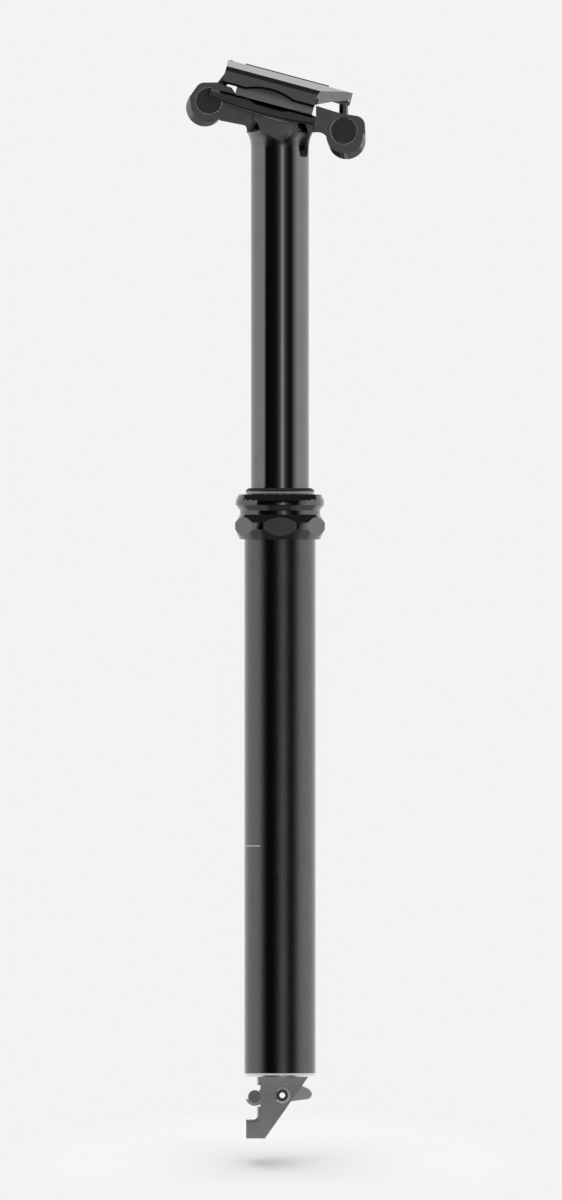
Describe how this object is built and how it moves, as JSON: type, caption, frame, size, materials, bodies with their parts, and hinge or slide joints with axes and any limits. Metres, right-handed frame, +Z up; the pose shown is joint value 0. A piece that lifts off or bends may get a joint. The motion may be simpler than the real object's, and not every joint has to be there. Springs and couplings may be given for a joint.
{
  "type": "dropper seatpost",
  "caption": "Telescopic bicycle seatpost: keyed gas-sprung post in a fixed tube, tilting saddle clamp on a forged head, and a cable lever at its foot.",
  "frame": {"origin": "post axis, at the line of least insertion on the lower tube", "axes": "+Z up the post towards the saddle, +X to the front of the bike"},
  "size_m": [0.0793, 0.053, 0.4771],
  "materials": {
    "tube_black": "fine-grained black anodising, satin",
    "collar_black": "black anodising, semi-gloss",
    "post_black": "hard black anodising, glossy on the tube and satin on the head",
    "clamp_black": "black anodising, satin",
    "rubber": "matte",
    "bushing_plastic": "matte, low friction",
    "key_brass": "machined",
    "bare_aluminium": "machined",
    "steel": "ground",
    "black_steel": "black oxide",
    "bracket_grey": "dark grey, grainy",
    "lever_grey": "warm grey, satin",
    "barrel_grey": "dark grey, turned"
  },
  "bodies": {
    "lower_post": {"lower_tube": "tube_black", "collar": "collar_black", "collar_o_ring": "rubber", "wiper_seal": "rubber", "upper_bushing": "bushing_plastic", "foot_cap": "bare_aluminium", "foot_cap_o_ring": "rubber", "damper_shaft": "steel", "bottom_out_bumper": "rubber", "piston_head": "bare_aluminium", "piston_ring": "rubber", "valve_lid": "bare_aluminium", "valve_spring": "steel", "actuator_bracket": "bracket_grey", "lever_pin": "steel", "e_clip": "steel"},
    "upper_post": {"upper_post": "post_black", "lower_bushing": "bushing_plastic", "guide_keys": "key_brass", "top_out_bumper": "rubber", "seal_head": "bare_aluminium", "shaft_seal": "rubber", "gas_fill_screw": "steel"},
    "floater": {"floating_piston": "bare_aluminium", "floating_piston_ring": "rubber"},
    "saddle_clamp": {"saddle_cradle": "clamp_black", "saddle_clamp_top": "clamp_black"},
    "front_nut": {"front_barrel_nut": "black_steel"},
    "front_clamp_bolt": {"front_bolt": "black_steel", "front_washer": "black_steel"},
    "rear_nut": {"rear_barrel_nut": "black_steel"},
    "rear_clamp_bolt": {"rear_bolt": "black_steel", "rear_washer": "black_steel"},
    "lever": {"actuator_lever": "lever_grey"},
    "barrel": {"cable_barrel": "barrel_grey", "barrel_screw": "steel"},
    "valve_rod": {"push_rod": "bare_aluminium", "valve_poppet": "steel"}
  },
  "joints": [
    {"name": "post_travel", "type": "slide", "parent": "lower_post", "child": "upper_post", "axis": [0, 0, 1], "range_m": [-0.15, 0], "stiffness_N_per_m": 300, "springref_m": 0.5},
    {"name": "floater_slide", "type": "slide", "parent": "upper_post", "child": "floater", "axis": [0, 0, 1], "range_m": [0, 0.0412]},
    {"name": "saddle_tilt", "type": "hinge", "parent": "upper_post", "child": "saddle_clamp", "pos_m": [0.00473, 0, 0.35011], "axis": [0, 1, 0], "range_deg": [-4, 4]},
    {"name": "front_nut_turn", "type": "hinge", "parent": "upper_post", "child": "front_nut", "pos_m": [0.02815, 0, 0.31619], "axis": [0, 1, 0], "range_deg": [-4.2, 4.2]},
    {"name": "front_bolt_thread", "type": "slide", "parent": "front_nut", "child": "front_clamp_bolt", "axis": [-0.0001, 0, 1], "range_m": [-0.0018, 0.0018]},
    {"name": "rear_nut_turn", "type": "hinge", "parent": "upper_post", "child": "rear_nut", "pos_m": [-0.03145, 0, 0.32947], "axis": [0, 1, 0], "range_deg": [-3.8, 3.8]},
    {"name": "rear_bolt_thread", "type": "slide", "parent": "rear_nut", "child": "rear_clamp_bolt", "axis": [0.6157, 0, 0.788], "range_m": [-0.0013, 0.0013]},
    {"name": "lever_turn", "type": "hinge", "parent": "lower_post", "child": "lever", "pos_m": [0.001, 0, -0.1103], "axis": [0, -1, 0], "range_deg": [0, 20], "stiffness_Nm_per_rad": 0.7, "springref_deg": -20.05},
    {"name": "barrel_turn", "type": "hinge", "parent": "lever", "child": "barrel", "pos_m": [-0.0112, 0, -0.1109], "axis": [0, -1, 0], "range_deg": [-20.5, 0]},
    {"name": "valve_lift", "type": "slide", "parent": "lower_post", "child": "valve_rod", "axis": [0, 0, 1], "range_m": [0, 0.00165], "deforming": ["valve_spring"]}
  ],
  "couplings": [
    {"joint": "floater_slide", "follows": "post_travel", "ratio": -0.27221},
    {"joint": "front_nut_turn", "follows": "saddle_tilt", "ratio": -0.987},
    {"joint": "front_bolt_thread", "follows": "saddle_tilt", "m_per_rad": -0.02321},
    {"joint": "rear_nut_turn", "follows": "saddle_tilt", "ratio": -0.848},
    {"joint": "rear_bolt_thread", "follows": "saddle_tilt", "m_per_rad": 0.01568},
    {"joint": "barrel_turn", "follows": "lever_turn", "ratio": -1},
    {"joint": "valve_lift", "follows": "lever_turn", "m_per_rad": 0.004584}
  ]
}
